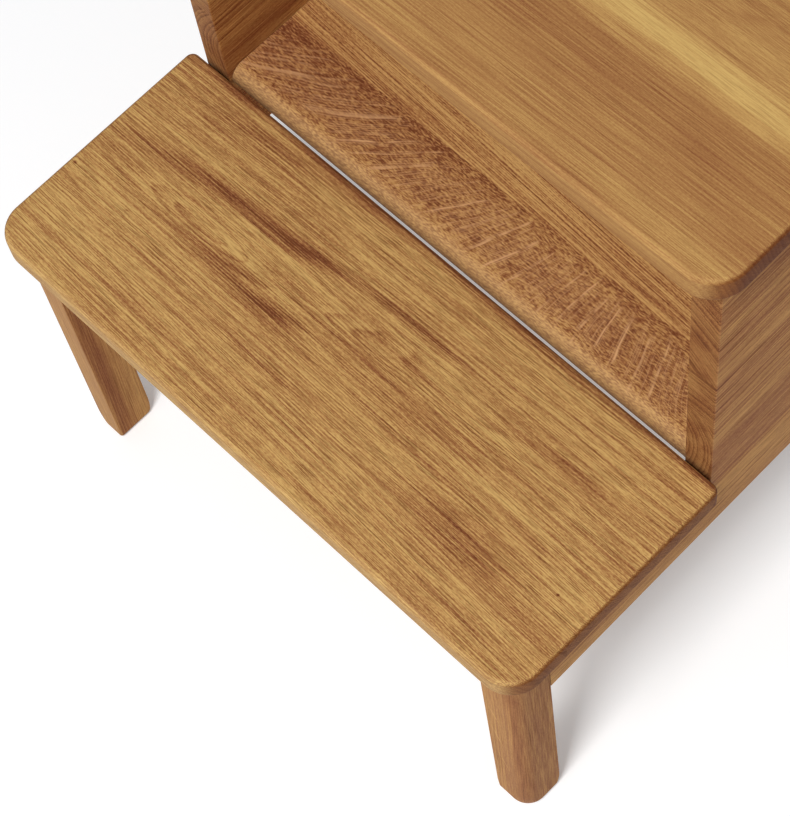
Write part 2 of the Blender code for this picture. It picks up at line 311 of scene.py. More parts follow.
@dataclass(frozen=True)
class OiledOak:
    """Solid oak, planed, sanded and oiled: a golden brown satin with open pores and darker end grain.

    Attributes:
        name: What it is for, which its material is named after.
        grain: The way the fibres run.
        staves: The strips that the board is glued up from, in order across it.
        streaks: Dark veins, warm patches, pale rays and pin knots, and on some boards bands of painted shade and
            painted sheen along an edge.
        swells: Places where the years bulge, so that they show as ovals.
        rays: Fans of rays.
        wobble: How far the rings stray from true circles, in millimetres.
        end_grain: What is left of the colour on a face across the fibres, which drinks more oil.
        figure: How strongly the years show.
        clouds: How strongly the colour drifts from place to place.
        pores: How dark the dashes are.
        lines: How strongly single fibres differ.
        tint: What is left of the colour on all faces, for a redder tree.
        painted_front_sheen: How much painted sheen lies on faces turned to the front, making them paler.
        ringed: How much darker the early wood of each year is on a face across the fibres.
    """

    name: str
    grain: Grain
    staves: tuple[Stave, ...]
    streaks: tuple[Mark, ...] = ()
    swells: tuple[Mark, ...] = ()
    rays: tuple[Rays, ...] = ()
    wobble: float = 5.0
    end_grain: str = "BD9D8D"
    figure: float = 0.20
    clouds: float = 1.0
    pores: float = 0.78
    lines: float = 1.0
    tint: str = "FFFFFF"
    painted_front_sheen: float = 0.0
    ringed: float = 0.12

    def material(self) -> Material:
        """Build the wood as a node tree on Object coordinates.

        Returns:
            The material.
        """
        made, tree, surface = blank(f"oiled_oak_{self.name}")
        place = add(tree, "TexCoord").node.outputs
        millimetres = add(tree, "VectorMath MULTIPLY", place["Object"], TO_MM)
        axes = add(tree, "SeparateXYZ", millimetres).node.outputs
        along, across, through = (axes[i] for i in self.grain.value)
        strip = self._strips(tree, across)
        flow, fibre = self._flow(tree, along, across, through, strip)
        early, near = self._years(tree, along, across, flow, strip)
        dashes, vessels = self._pores(tree, fibre, early, strip)
        tone = self._tone(tree, along, across, flow, fibre, early, near, strip)
        rays = self._rays(tree, along, across)
        tree.links.new(self._paint(tree, place["Normal"], early, tone, dashes, vessels, rays), surface)
        return made

    def _strips(self, tree: Tree, across: Socket) -> dict[str, Any]:
        """Give each strip its own values: each edge that lies behind a point adds the step to the next strip.

        Args:
            tree: The node tree.
            across: Millimetres across the board.

        Returns:
            Sockets or numbers by the names of the strip's fields.
        """
        passed = [add(tree, "Math GREATER_THAN", across, stave.edge) for stave in self.staves[1:]]
        found = {}
        for name in ("heart_across", "heart_through", "slope", "taper", "shift", "warmth", "run", "curl", "rate"):
            total: Any = getattr(self.staves[0], name)
            for behind, stave, gate in zip(self.staves, self.staves[1:], passed):
                step = getattr(stave, name) - getattr(behind, name)
                if step:
                    total = add(tree, "Math MULTIPLY_ADD", gate, step, total)
            found[name] = total
        return found

    def _noise(self, tree: Tree, place: Any, size: Sequence[float], detail: float = 2.0) -> Socket:
        """Noise whose grains have a real size.

        Args:
            tree: The node tree.
            place: Where it is read, in millimetres.
            size: Length of a grain along, across and through, in millimetres.
            detail: How many finer layers lie on it.

        Returns:
            Noise from 0 to 1, mostly near 0.5.
        """
        scaled = add(tree, "VectorMath MULTIPLY", place, tuple(1 / s for s in size))
        return add(tree, "TexNoise", scaled, named={"Scale": 1.0, "Detail": detail, "Roughness": 0.55})

    def _flow(self, tree: Tree, along: Any, across: Any, through: Any, strip: dict[str, Any]) -> tuple[Socket, Socket]:
        """Work out a point's place in the tree: along the trunk, and across and through from its heart.

        The heart drifts with the slope, slow noise bends it, so that years swell into arches, and quick noise lets
        the fibres weave. Fibres keep their depth in the board, so that pores stay long on its face.

        Args:
            tree: The node tree.
            along: Millimetres along the board.
            across: Millimetres across it.
            through: Millimetres through it.
            strip: The strip's values.

        Returns:
            The place among the years, and the place among the fibres, as vectors in millimetres.
        """
        slid = add(tree, "Math ADD", along, strip["shift"])
        raw = add(tree, "CombineXYZ", slid, across, through)
        slow = add(tree, "SeparateColor", self._noise(tree, raw, SLOW_BEND).node.outputs["Color"]).node.outputs
        quick = self._noise(tree, raw, QUICK_WEAVE, 1.0)
        drift = add(tree, "Math MULTIPLY_ADD", along, strip["slope"], strip["heart_across"])
        sideways = add(tree, "Math SUBTRACT", across, drift)
        sideways = add(tree, "Math MULTIPLY_ADD", slow[0], BEND_ACROSS * self.wobble, sideways)
        weave = add(tree, "Math MULTIPLY", strip["curl"], WEAVE)
        sideways = add(tree, "Math MULTIPLY_ADD", quick, weave, sideways)
        rise = add(tree, "Math MULTIPLY_ADD", along, strip["taper"], strip["heart_through"])
        depth = add(tree, "Math SUBTRACT", through, rise)
        depth = add(tree, "Math MULTIPLY_ADD", slow[1], BEND_THROUGH * self.wobble, depth)
        years = add(tree, "CombineXYZ", slid, sideways, depth)
        return years, add(tree, "CombineXYZ", slid, sideways, through)

    def _bell(self, tree: Tree, along: Any, across: Any, mark: Mark, sway: Any = 0.5, fingers: Any = 0.5) -> Any:
        """Find how near a point is to the middle of a mark: a bell over its length and its width.

        Args:
            tree: The node tree.
            along: Millimetres along the board.
            across: Millimetres across it.
            mark: The mark.
            sway: How far it strays to one side, as noise about 0.5.
            fingers: How far single fibres of it are slid along, as noise about 0.5, which frays its ends.

        Returns:
            From 1 in the middle to 0 far away.
        """
        base = mark.across - mark.slope * mark.along - 0.5 * STRAY * mark.width
        line = add(tree, "Math MULTIPLY_ADD", along, mark.slope, base)
        line = add(tree, "Math MULTIPLY_ADD", sway, STRAY * mark.width, line)
        side = add(tree, "Math SUBTRACT", across, line)
        side = add(tree, "Math MULTIPLY", side, 1 / mark.width)
        side = add(tree, "Math MULTIPLY", side, side)
        end = add(tree, "Math SUBTRACT", along, mark.along + 0.5 * mark.length)
        end = add(tree, "Math MULTIPLY_ADD", fingers, mark.length, end)
        end = add(tree, "Math MULTIPLY", end, 1 / (FADE * mark.length))
        both = add(tree, "Math MULTIPLY_ADD", end, end, side)
        return add(tree, "Math POWER", math.exp(-1), both)

    def _years(self, tree: Tree, along: Any, across: Any, flow: Socket, strip: dict[str, Any]) -> tuple[Any, Any]:
        """Turn the distance from the heart into years.

        Each year starts with a dark band of open pores and goes on as dense pale wood.

        Args:
            tree: The node tree.
            along: Millimetres along the board.
            across: Millimetres across it.
            flow: Place among the years.
            strip: The strip's values.

        Returns:
            How much a point is early wood, and how near it is to a swelling, both from 0 to 1.
        """
        near: Any = 0.0
        flat = add(tree, "VectorMath MULTIPLY", flow, (0.0, 1.0, 1.0))
        radius = add(tree, "VectorMath LENGTH", flat, out="Value")
        for swell in self.swells:
            bell = self._bell(tree, along, across, swell)
            radius = add(tree, "Math MULTIPLY_ADD", bell, swell.depth, radius)
            near = add(tree, "Math ADD", bell, near)
        uneven = add(tree, "TexNoise", noise_dimensions="1D", named={
            "W": add(tree, "Math MULTIPLY", radius, 1 / UNEVEN_OVER), "Scale": 1.0, "Detail": 1.0})
        uneven = add(tree, "Math MULTIPLY", uneven, UNEVEN_BY)
        years = add(tree, "Math MULTIPLY_ADD", radius, strip["rate"], uneven)
        season = add(tree, "Math FRACT", years)
        return add(tree, "ValToRGB", season, stops=SEASON), near

    def _pores(self, tree: Tree, fibre: Socket, early: Any, strip: dict[str, Any]) -> tuple[Any, Any]:
        """Open pores: fine short dashes all over and long single vessels, both crowded in the early wood.

        Each is the middle of a long thin cell. The cells lie in sheets that lean through the board, so that they run
        on from its face to its edge. A pore is about 0.3 mm wide and is drawn up to 0.5 mm wide, so that it shows.

        Args:
            tree: The node tree.
            fibre: Place among the fibres.
            early: How much a point is early wood.
            strip: The strip's values.

        Returns:
            How much a point is a dash, and how much it is a vessel, both from 0 to 1.
        """
        along = add(tree, "SeparateXYZ", fibre)
        sheet = add(tree, "VectorMath DOT_PRODUCT", fibre, (0.0, 1.0, SHEET_LEAN), out="Value")
        patch = add(tree, "MapRange", self._noise(tree, fibre, VESSEL_PATCH, 1.0), *VESSEL_SHARE)
        found = []
        for longer, wide, crowding in PORE_KINDS:
            length = add(tree, "Math MULTIPLY", along, strip["run"])
            length = add(tree, "Math MULTIPLY", length, 1 / longer)
            spot = add(tree, "CombineXYZ", length, add(tree, "Math MULTIPLY", sheet, 1 / wide))
            cells = add(tree, "TexVoronoi", out="Distance", voronoi_dimensions="2D", named={
                "Vector": spot, "Scale": 1.0, "Randomness": 1.0})
            mark = add(tree, "MapRange", cells, PORE_RIM, PORE_CORE, 0.0, 1.0, interpolation_type="SMOOTHSTEP")
            crowd = add(tree, "Math MULTIPLY_ADD", early, crowding, 1 - crowding)
            found.append(add(tree, "Math MULTIPLY", mark, crowd))
        return found[0], add(tree, "Math MULTIPLY", found[1], patch)

    def _tone(self, tree: Tree, along: Any, across: Any, flow: Any, fibre: Any, early: Any, near: Any,
              strip: dict[str, Any]) -> Socket:
        """Add up what makes the wood redder and darker: its strip, clouds and lines along the grain, and streaks.

        Where a strip's dashes are short, its lines are short too.

        Args:
            tree: The node tree.
            along: Millimetres along the board.
            across: Millimetres across it.
            flow: Place among the years.
            fibre: Place among the fibres.
            early: How much a point is early wood.
            near: How near it is to a swelling, where the years show more.
            strip: The strip's values.

        Returns:
            Tone, about 0.3 on plain wood and 1 in the middle of a dark vein.
        """
        reach = CLOUD_TONE * self.clouds
        total = add(tree, "MapRange", self._noise(tree, flow, CLOUD, 1.0), NOISE_LOW, NOISE_HIGH,
                    PLAIN_TONE - reach, PLAIN_TONE + reach)
        length = add(tree, "Math MULTIPLY", strip["run"], USUAL_DASH)
        fibre = add(tree, "VectorMath MULTIPLY", fibre, add(tree, "CombineXYZ", length, 1.0, 1.0))
        for size, depth in FIBRE_LINES:
            drawn = add(tree, "MapRange", self._noise(tree, fibre, size, 0.0), NOISE_LOW, NOISE_HIGH,
                        -depth * self.lines, depth * self.lines)
            total = add(tree, "Math ADD", drawn, total)
        total = add(tree, "Math ADD", total, strip["warmth"])
        band = add(tree, "MapRange", early, 0.0, 1.0, LATE_TONE * self.figure, EARLY_TONE * self.figure)
        total = add(tree, "Math ADD", total, band)
        band = add(tree, "Math MULTIPLY_ADD", early, SWELL_RISE, SWELL_LATE)
        total = add(tree, "Math MULTIPLY_ADD", band, near, total)
        ragged = self._noise(tree, flow, RAGGED_SIDE)
        fingers = self._noise(tree, fibre, FRAYED_END, 1.0)
        for streak in self.streaks:
            fade = self._bell(tree, along, across, streak, ragged, fingers)
            total = add(tree, "Math MULTIPLY_ADD", fade, streak.depth, total)
        return total

    def _rays(self, tree: Tree, along: Any, across: Any) -> Any:
        """Draw each fan of rays as lines of equal angle about its point, each with its own length and strength.

        Args:
            tree: The node tree.
            along: Millimetres along the board.
            across: Millimetres across it.

        Returns:
            How much a point is a ray, or 0 where the board shows none.
        """
        total: Any = 0.0
        for fan in self.rays:
            side = add(tree, "Math SUBTRACT", along, fan.along)
            back = add(tree, "Math SUBTRACT", fan.across, across)
            turn = add(tree, "Math ARCTAN2", side, back)
            arc = add(tree, "Math MULTIPLY", turn, abs(fan.across - fan.near))
            spot = add(tree, "CombineXYZ", arc, across)
            for size, sway in RAY_SWAYS:
                arc = add(tree, "Math MULTIPLY_ADD", self._noise(tree, spot, size, 0.0), sway, arc)
            count = add(tree, "Math MULTIPLY", arc, 1 / fan.pitch)
            own = add(tree, "TexWhiteNoise", noise_dimensions="1D", named={"W": add(tree, "Math FLOOR", count)})
            chance = add(tree, "SeparateColor", own.node.outputs["Color"]).node.outputs
            off = add(tree, "Math SUBTRACT", add(tree, "Math FRACT", count), 0.5)
            off = add(tree, "Math ABSOLUTE", off)
            thin = fan.line / fan.pitch
            line = add(tree, "MapRange", off, 0.25 * thin, 0.75 * thin, 1.0, 0.0)
            span = fan.far - fan.near
            start = add(tree, "Math MULTIPLY_ADD", chance[0], RAY_LATE * span, fan.near)
            stop = add(tree, "Math MULTIPLY_ADD", chance[1], -RAY_SHORT * span, fan.far)
            for ahead, behind in ((across, start), (stop, across)):
                gone = add(tree, "Math SUBTRACT", ahead, behind)
                shown = add(tree, "Math MULTIPLY", gone, 1 / RAY_FADE, use_clamp=True)
                line = add(tree, "Math MULTIPLY", line, shown)
            strength = add(tree, "MapRange", chance[2], *RAY_CHANCE, RAY_WEAKEST * fan.depth, fan.depth)
            pieces = self._noise(tree, spot, (RAY_PIECE[0] * fan.pitch, RAY_PIECE[1], 1), 1.0)
            pieces = add(tree, "MapRange", pieces, *RAY_BREAKS)
            line = add(tree, "Math MULTIPLY", line, pieces)
            total = add(tree, "Math MULTIPLY_ADD", line, strength, total)
        return total

    def _paint(self, tree: Tree, normal: Any, early: Any, tone: Any, dashes: Any, vessels: Any, rays: Any) -> Socket:
        """Mix the colours and set gloss and relief.

        Oil darkens open end grain, so a face turned along the fibres is shaded down, most in the early wood of each
        year.

        Args:
            tree: The node tree.
            normal: The way the face is turned.
            early: How much a point is early wood.
            tone: How red and dark the wood is.
            dashes: How much a point is a short pore.
            vessels: How much a point is a single vessel.
            rays: How much a point is a ray.

        Returns:
            The surface.
        """
        facing = add(tree, "SeparateXYZ", normal).node.outputs
        layers = [(add(tree, "Math MULTIPLY", dashes, self.pores), PORE_BROWN),
                  (add(tree, "Math MULTIPLY", vessels, VESSEL_DARK * self.pores), VESSEL_BROWN)]
        if self.rays:
            layers.append((rays, RAY_CREAM))
        # Painted sheen: faces turned to the front are mixed toward a pale cream.
        if self.painted_front_sheen:
            edge = add(tree, "MapRange", facing[1], *SHEEN_TURN, 0.0, self.painted_front_sheen)
            layers.append((edge, SHEEN_CREAM))
        colour = add(tree, "ValToRGB", tone, stops=OAK_TONES)
        for share, code in layers:
            colour = add(tree, "Mix", **COLOURS, named={SHARE: share, FROM: colour, TO: linear(code)})
        turned = add(tree, "Math ABSOLUTE", facing[self.grain.value[0]])
        cut = add(tree, "MapRange", turned, *END_TURN, 0.0, 1.0, interpolation_type="SMOOTHSTEP")
        light = linear(self.end_grain)
        dark = tuple((1 - self.ringed) * part for part in light)
        rings = add(tree, "Mix", **COLOURS, named={SHARE: early, FROM: light, TO: dark})
        soaked = add(tree, "Mix", **COLOURS, named={SHARE: cut, FROM: linear(self.tint), TO: rings})
        height = add(tree, "Math MULTIPLY_ADD", dashes, DASH_DEPTH, vessels)
        return add(tree, "BsdfPrincipled", named={
            "Base Color": add(tree, "VectorMath MULTIPLY", colour, soaked),
            "Roughness": add(tree, "Math MULTIPLY_ADD", vessels, PORE_ROUGHNESS, OIL_ROUGHNESS),
            "Normal": add(tree, "Bump", invert=True, named={
                "Strength": PORE_RELIEF, "Distance": PORE_DEPTH, "Height": height}),
            "IOR": OIL_IOR, "Specular IOR Level": OIL_SHEEN})


@dataclass(frozen=True)
class RawBeech:
    """Turned beech dowel, left raw: pale pinkish wood with short dark flecks and no gloss.

    Attributes:
        name: The material's name.
        flecks: Flecks for each millimetre.
        clouds: Clouds for each millimetre.
        roughness: How matt it is.
    """

    name: str = "raw_beech"
    flecks: float = 0.9
    clouds: float = 0.15
    roughness: float = 0.75

    def material(self) -> Material:
        """Build the wood on Object coordinates.

        Returns:
            The material.
        """
        made, tree, surface = blank(self.name)
        millimetres = add(tree, "VectorMath MULTIPLY", add(tree, "TexCoord", out="Object"), TO_MM)
        flecks = add(tree, "TexVoronoi", millimetres, out="Distance", named={"Scale": self.flecks})
        cloud = add(tree, "TexNoise", millimetres, named={"Scale": self.clouds, "Detail": 3.0})
        mixed = add(tree, "Math MULTIPLY_ADD", flecks, 0.5, add(tree, "Math MULTIPLY", cloud, 0.5))
        colour = add(tree, "ValToRGB", mixed, stops=((0.15, "A9825C"), (0.4, "CCA881"), (0.8, "DDBE98")))
        tree.links.new(add(tree, "BsdfPrincipled", named={"Base Color": colour, "Roughness": self.roughness}), surface)
        return made


def outline(low: np.ndarray, high: np.ndarray, radii: np.ndarray, steps: int) -> np.ndarray:
    """Rectangles with round corners, one for each ring of a board.

    Each corner is a quarter circle about the point that lies one radius inside both edges. The quarters follow each
    other anticlockwise from the low corner, and the straight edges join them.

    Args:
        low: Lowest corner (u, v) of each ring.
        high: Highest corner (u, v) of each ring.
        radii: The radius of the four corners of each ring.
        steps: Steps along each quarter circle.

    Returns:
        Points as an array of (rings, 4 * (steps + 1), 2).
    """
    inward = np.array([[1, 1], [-1, 1], [-1, -1], [1, -1]])
    corners = np.where(inward > 0, low[:, None], high[:, None])
    centres = corners + inward * radii[:, :, None]
    turn = math.pi + (np.arange(4)[:, None] + np.linspace(0, 1, steps + 1)) * math.pi / 2
    arc = np.stack([np.cos(turn), np.sin(turn)], axis=-1)
    return (centres[:, :, None, :] + radii[:, :, None, None] * arc).reshape(len(low), -1, 2)


@dataclass
class Board:
    """One board, as an outline carried along an axis, with its ends rolled over.

    Attributes:
        name: The piece's name.
        nodes: The CAD nodes that it stands for. The first one gives its size.
        carried: The axis that the outline is carried along.
        radii: Radius of the outline's four corners, in metres.
        rolls: Radius of the rolled edge at the low and at the high end, in metres.
        grow: Metres added at the low and high corner, to close a glue line.
        arc_steps: Steps of a round corner.
        roll_steps: Steps of a rolled edge.
        eased: How far from the low end the corners are eased, in metres.
        beyond: Radius of the four corners beyond that.
    """

    name: str
    nodes: tuple[str, ...]
    carried: Carried
    radii: tuple[float, float, float, float]
    rolls: tuple[float, float]
    grow: tuple[Sequence[float], Sequence[float]] = ((0, 0, 0), (0, 0, 0))
    arc_steps: int = 16
    roll_steps: int = 10
    eased: float = 0.0
    beyond: tuple[float, ...] = ()

    def surface(self) -> np.ndarray:
        """Work out the rings of the board.

        A ring is the outline drawn in by an inset, at a place w along the axis. On a rolled edge of radius r the
        inset is r times one minus the sine of an angle, and w is r times one minus its cosine, for angles from 0 to
        90 degrees. One more ring inside each end keeps its face flat. On an eased end the corners go from one radius
        to the other as one minus the square of the share that is still to go.

        Returns:
            Points as an array of (rings, points in a ring, 3), in metres.
        """
        low, high = (np.array(c) + np.array(g) for c, g in zip(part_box(self.nodes[0]), self.grow))
        u, v, w = self.carried.value
        angle = np.linspace(0, math.pi / 2, self.roll_steps + 1)
        first, last = self.rolls
        gone = np.linspace(first / self.eased, 1, EASED_RINGS)[1:] if self.eased else np.empty(0)
        inset = np.concatenate([[first + RIM], first * (1 - np.sin(angle)), 0 * gone,
                                last * (1 - np.sin(angle[::-1])), [last + RIM]])
        place = np.concatenate([[low[w]], low[w] + first * (1 - np.cos(angle)), low[w] + self.eased * gone,
                                high[w] - last * (1 - np.cos(angle[::-1])), [high[w]]])
        to_go = np.clip(1 - (place - low[w]) / max(self.eased, MM), 0, 1)[:, None]
        radii = np.array(self.beyond or self.radii) * (1 - to_go ** 2) + np.array(self.radii) * to_go ** 2
        radii = np.maximum(radii - inset[:, None], SHARPEST)
        flat = outline(low[[u, v]] + inset[:, None], high[[u, v]] - inset[:, None], radii, self.arc_steps)
        rings = np.empty((*flat.shape[:2], 3))
        rings[..., [u, v]] = flat
        rings[..., w] = place[:, None]
        return rings

    def build(self, slot: str, finish: OiledOak) -> None:
        """Make the piece in place of its nodes.

        Args:
            slot: Not used.
            finish: Its wood.
        """
        rings = self.surface()
        count, around = rings.shape[:2]
        points = np.arange(count * around).reshape(count, around)
        after = np.roll(points, -1, axis=1)
        sides = np.stack([points[:-1], after[:-1], after[1:], points[1:]], axis=-1).reshape(-1, 4)
        ends = [points[0, ::-1].tolist(), points[-1].tolist()]
        mesh = bpy.data.meshes.new(self.name)
        mesh.from_pydata(rings.reshape(-1, 3), [], sides.tolist() + ends)
        mesh.shade_smooth()
        mesh.materials.append(finish.material())
        piece = bpy.data.objects.new(self.name, mesh)
        bpy.context.scene.collection.objects.link(piece)
        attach(piece, BODY)
        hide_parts(*self.nodes)
        LOG.info("%s: %d faces", self.name, len(mesh.polygons))


@dataclass
class Treads:
    """The two steps, with round corners and edges rolled all the way round. Sizes in metres.

    Attributes:
        corner: Radius of the round corners.
        square: Radius of the lower step's rear corners.
        roll: Radius of the rolled edges.
        slot: The record's slot for their wood.
    """

    corner: float = 20 * MM
    square: float = 5 * MM
    roll: float = 3 * MM
    slot: str = "tread_oak"

    def build(self) -> None:
        """Make both steps and dress each in its own boards."""
        steps = (("lower_step", self.square, self.lower_oak()), ("upper_step", self.corner, self.upper_oak()))
        for name, rear, oak in steps:
            Board(f"{name}_board", (name,), Carried.ALONG_Z, (self.corner, self.corner, rear, rear),
                  (self.roll, self.roll), arc_steps=24).build(self.slot, oak)

    def lower_oak(self) -> OiledOak:
        """The lower step's wood: straight strips at front and back, and an arched figure between them.

        Returns:
            The finish, with its dark and pale streaks, three pin knots and painted shade along the rear edge.
        """
        # Each mark as along, across, half length, half width, slope and depth.
        streaks = (
            (-125, -98, 130, 6.0, 0.139, 0.46),
            (-58, -91, 40, 3.6, 0.12, 0.60),
            (20, -83, 85, 2.6, 0.01, 0.36),
            (-82, -131, 74, 11.0, 0, 0.24),
            (-42, -129, 26, 3.6, 0.06, 0.50),
            (-2, -160, 64, 11.0, -0.12, 0.20),
            (25, -112, 80, 9.0, 0.03, 0.14),
            (118, -152, 78, 22.0, -0.06, 0.27),
            (136, -157, 32, 8.0, 0, 0.06),
            (-140, -66, 130, 8.0, 0.2, 0.12),
            (128, -88, 50, 3.0, 0.04, 0.25),
            (-150, -155, 100, 36.0, 0, -0.08),
            (60, -180, 70, 15.0, -0.05, -0.08),
            (-95, -114, 60, 6.0, 0.1, -0.14),
            (75, -108, 70, 8.0, 0, -0.10),
            (178.2, -142.9, 1.1, 0.6, 0, 1.5),
            (-195.5, -138.8, 2.0, 0.8, 0, 0.8),
            (-151, -139.9, 1.8, 0.7, 0, 0.6),
            # Painted shade: a dark band along the rear edge, beside the slot to the shelf.
            (0, -45, 900, 3.6, 0, 0.52),
        )
        swells = (
            (18, -106, 95, 9.0, 0.13, 9.0),
            (-112, -119, 85, 10.0, 0.02, 8.0),
            (88, -105, 60, 8.0, 0.05, 7.0),
        )
        return OiledOak(
            "lower_step", Grain.ALONG_X,
            staves=(
                Stave(BEFORE, -290, 195, slope=-0.03, shift=40, warmth=0.04, ring=5.2),
                Stave(-160, -124, 214, slope=-0.005, taper=0.022, shift=310, warmth=0.03, ring=3.0),
                Stave(-92, 40, 190, slope=0.02, shift=690, warmth=0.05, curl=0.25, ring=4.4),
            ),
            streaks=tuple(Mark(*row) for row in streaks),
            swells=tuple(Mark(*row) for row in swells),
            wobble=7.0, figure=0.10, clouds=0.4, pores=0.62, painted_front_sheen=0.18)

    def upper_oak(self) -> OiledOak:
        """The upper step's wood: straight grain, a yellow band, and a brown strip behind it.

        Returns:
            The finish.
        """
        return OiledOak(
            "upper_step", Grain.ALONG_X,
            staves=(
                Stave(BEFORE, -230, 430, slope=0.01, shift=930, warmth=0.29, dash=16),
                Stave(41, 41, 330, shift=1570, warmth=0.21, dash=6, curl=0.3),
                Stave(104, 260, 420, slope=0.01, shift=1900, warmth=0.10, dash=16),
            ),
            streaks=(Mark(100, 29, 700, 10.0, slope=0.01, depth=-0.47), Mark(100, -46, 700, 5.0, depth=-0.20)),
            wobble=4.0, figure=0.14, clouds=0.4, pores=0.22, lines=0.42, tint="FBFFFC", painted_front_sheen=0.04)


@dataclass
class StorageBox:
    """The shelf, the two sides and the back under the upper step. Sizes in metres.

    Attributes:
        arris: Radius of the edges that show.
        tight: Radius of the edges that another board covers.
        nose: Radius of the shelf's round front edge.
        reach: How far that edge is brought forward.
    """

    arris: float = 0.7 * MM
    tight: float = 0.06 * MM
    nose: float = 8.95 * MM
    reach: float = 2.4 * MM

    def build(self) -> None:
        """Make the boards of the box and dress them."""
        Board("shelf_board", ("shelf",), Carried.ALONG_X, (self.nose, self.tight, self.tight, self.nose),
              (self.tight, self.tight), grow=((0, -self.reach, 0), (0, 0, 0))).build("shelf_oak", self.shelf_oak())
        for side in ("left", "right"):
            Board(f"{side}_side_board", (f"{side}_side_panel",), Carried.ALONG_Y,
                  (self.tight, self.arris, self.arris, self.tight), (self.arris, self.arris)).build(
                "side_oak", side_oak(side))
        Board("back_board", ("back_panel",), Carried.ALONG_Y, (self.tight,) * 4, (self.arris, self.arris)).build(
            "side_oak", self.back_oak())

    def shelf_oak(self) -> OiledOak:
        """The shelf's wood: a quarter-sawn strip with pale rays in front, straight grain behind.

        Returns:
            The finish.
        """
        return OiledOak(
            "shelf", Grain.ALONG_X,
            staves=(
                Stave(BEFORE, -150, 238, slope=0.03, shift=2230, warmth=0.35, dash=0.85, curl=0.3),
                Stave(8, -190, 150, slope=-0.05, shift=2560, warmth=0.10),
                Stave(74, 220, 160, shift=2890, warmth=0.10),
            ),
            # The first two marks are painted light on the round front edge: a pale band on its top as painted sheen,
            # and a dark line low on its front as painted shade in the slot.
            streaks=(Mark(20, -33, 600, 6.0, depth=-0.18), Mark(0, -41, 900, 2.0, depth=0.25),
                     Mark(-150, -10, 130, 26.0, depth=0.22)),
            rays=(Rays(70, 110, 13.0, -37, 8, 0.72, line=1.2), Rays(70, 110, 5.2, -37, 8, 0.32, line=0.8),
                  Rays(70, 110, 1.15, -37, 8, 0.36, line=0.6)),
            wobble=4.0, figure=0.12, clouds=0.4, pores=0.18, lines=1.3, tint="FFF8FA", painted_front_sheen=0.26)

    def back_oak(self) -> OiledOak:
        """The back's wood: straight strips lying along the stool.

        Returns:
            The finish.
        """
        return OiledOak(
            "back", Grain.UPRIGHT_X,
            staves=(
                Stave(BEFORE, 290, 330, slope=0.01, taper=0.06, shift=3220, warmth=0.12),
                Stave(318, 200, 300, slope=-0.02, shift=3550, warmth=0.06),
                Stave(396, 560, 290, slope=0.02, shift=3880, warmth=0.14),
            ),
            lines=0.75)


def side_oak(side: str) -> OiledOak:
    """The wood of one side, shared by its panel and the rail below, so that the figure runs on.

    Args:
        side: left or right.

    Returns:
        The finish.
    """
    sign = 1 if side == "right" else -1
    return OiledOak(
        f"{side}_side", Grain.ALONG_Y,
        staves=(
            # The first strip is the rail: painted light makes it paler on the right side, and painted shade makes it
            # darker on the left, whose inner face lies in shade.
            Stave(BEFORE, 266, sign * 125, shift=4000 + 300 * sign, warmth=0.04 - 0.20 * sign, ring=3.4),
            Stave(232, 266, sign * 125, shift=4000 + 300 * sign, warmth=0.10, ring=3.4),
            Stave(308, 180, sign * 190, shift=4900 + 300 * sign, warmth=0.04, ring=4.2),
            Stave(356, 285, sign * 98, shift=5800 + 300 * sign, warmth=0.08, ring=4.6),
        ),
        wobble=3.0, end_grain="D9C6C7", figure=0.4, pores=0.6, lines=0.9, tint="FFEBE2", ringed=0.18)


